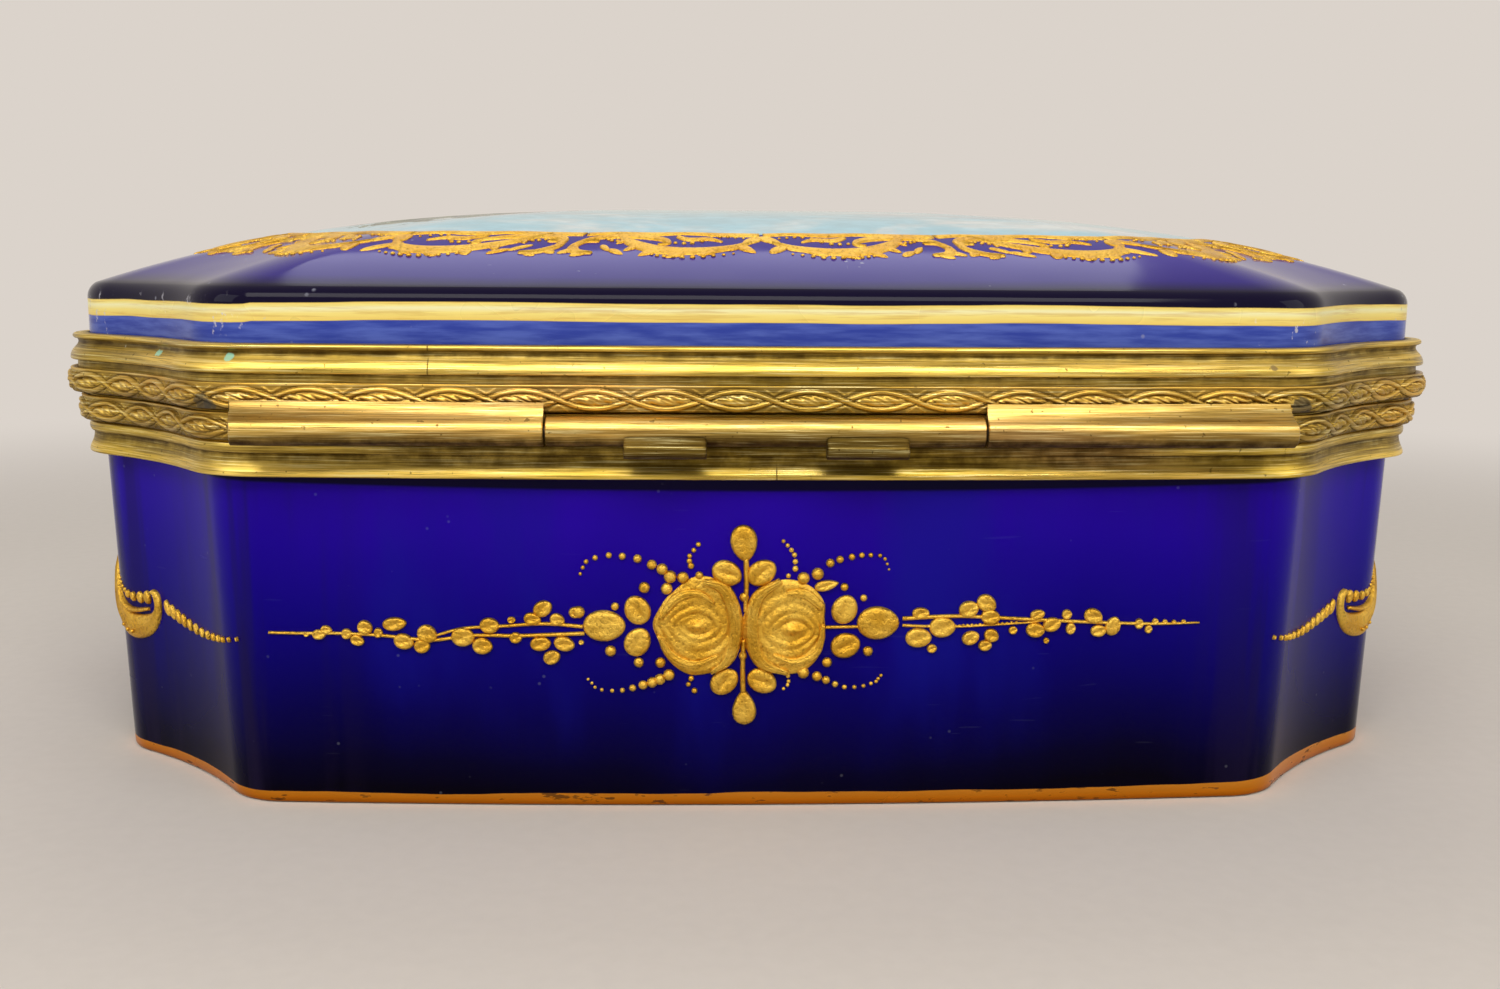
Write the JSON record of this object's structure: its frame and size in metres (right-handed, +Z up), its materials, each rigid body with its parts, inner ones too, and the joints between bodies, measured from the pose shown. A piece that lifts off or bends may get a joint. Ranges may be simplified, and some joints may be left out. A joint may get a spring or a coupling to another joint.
{
  "type": "porcelain jewelry box",
  "caption": "Casket with canted, slightly hollow corners: cobalt-glazed porcelain bowl and domed lid in gilt brass mounts, joined by a barrel hinge and closed by a fork clasp.",
  "frame": {"origin": "centre of the overall bounding box at the level of the foot ring, with the hinge and the clasp counted in", "axes": "+X along the length, +Y to the back where the hinge is, +Z up"},
  "size_m": [0.283, 0.2074, 0.1132],
  "materials": {
    "cobalt_porcelain": "glossy cobalt glaze with painted gold",
    "gilt_brass": "worn gilding, satin",
    "hinge_brass": "rubbed, slightly tarnished",
    "plain_brass": "plain, dull",
    "pin_steel": "dark drawn wire",
    "bedding_cement": "matt"
  },
  "bodies": {
    "base": {"base_bowl": "cobalt_porcelain", "base_cement_bed": "bedding_cement", "base_mount_moulding": "gilt_brass", "base_rim_collar": "plain_brass", "base_guilloche_strip": "gilt_brass", "hinge_knuckle_centre": "hinge_brass", "stop_lug_left": "hinge_brass", "stop_lug_right": "hinge_brass", "hinge_pin": "pin_steel", "clasp_stud": "gilt_brass"},
    "lid": {"lid_dome": "cobalt_porcelain", "lid_cement_bed": "bedding_cement", "lid_mount_moulding": "gilt_brass", "lid_rim_collar": "plain_brass", "lid_guilloche_strip": "gilt_brass", "hinge_knuckle_left": "hinge_brass", "hinge_knuckle_right": "hinge_brass", "clasp_thumbpiece": "gilt_brass"}
  },
  "joints": [
    {"name": "lid_hinge", "type": "hinge", "parent": "base", "child": "lid", "pos_m": [0, 0.09907, 0.07195], "axis": [-1, 0, 0], "range_deg": [0, 105]}
  ]
}
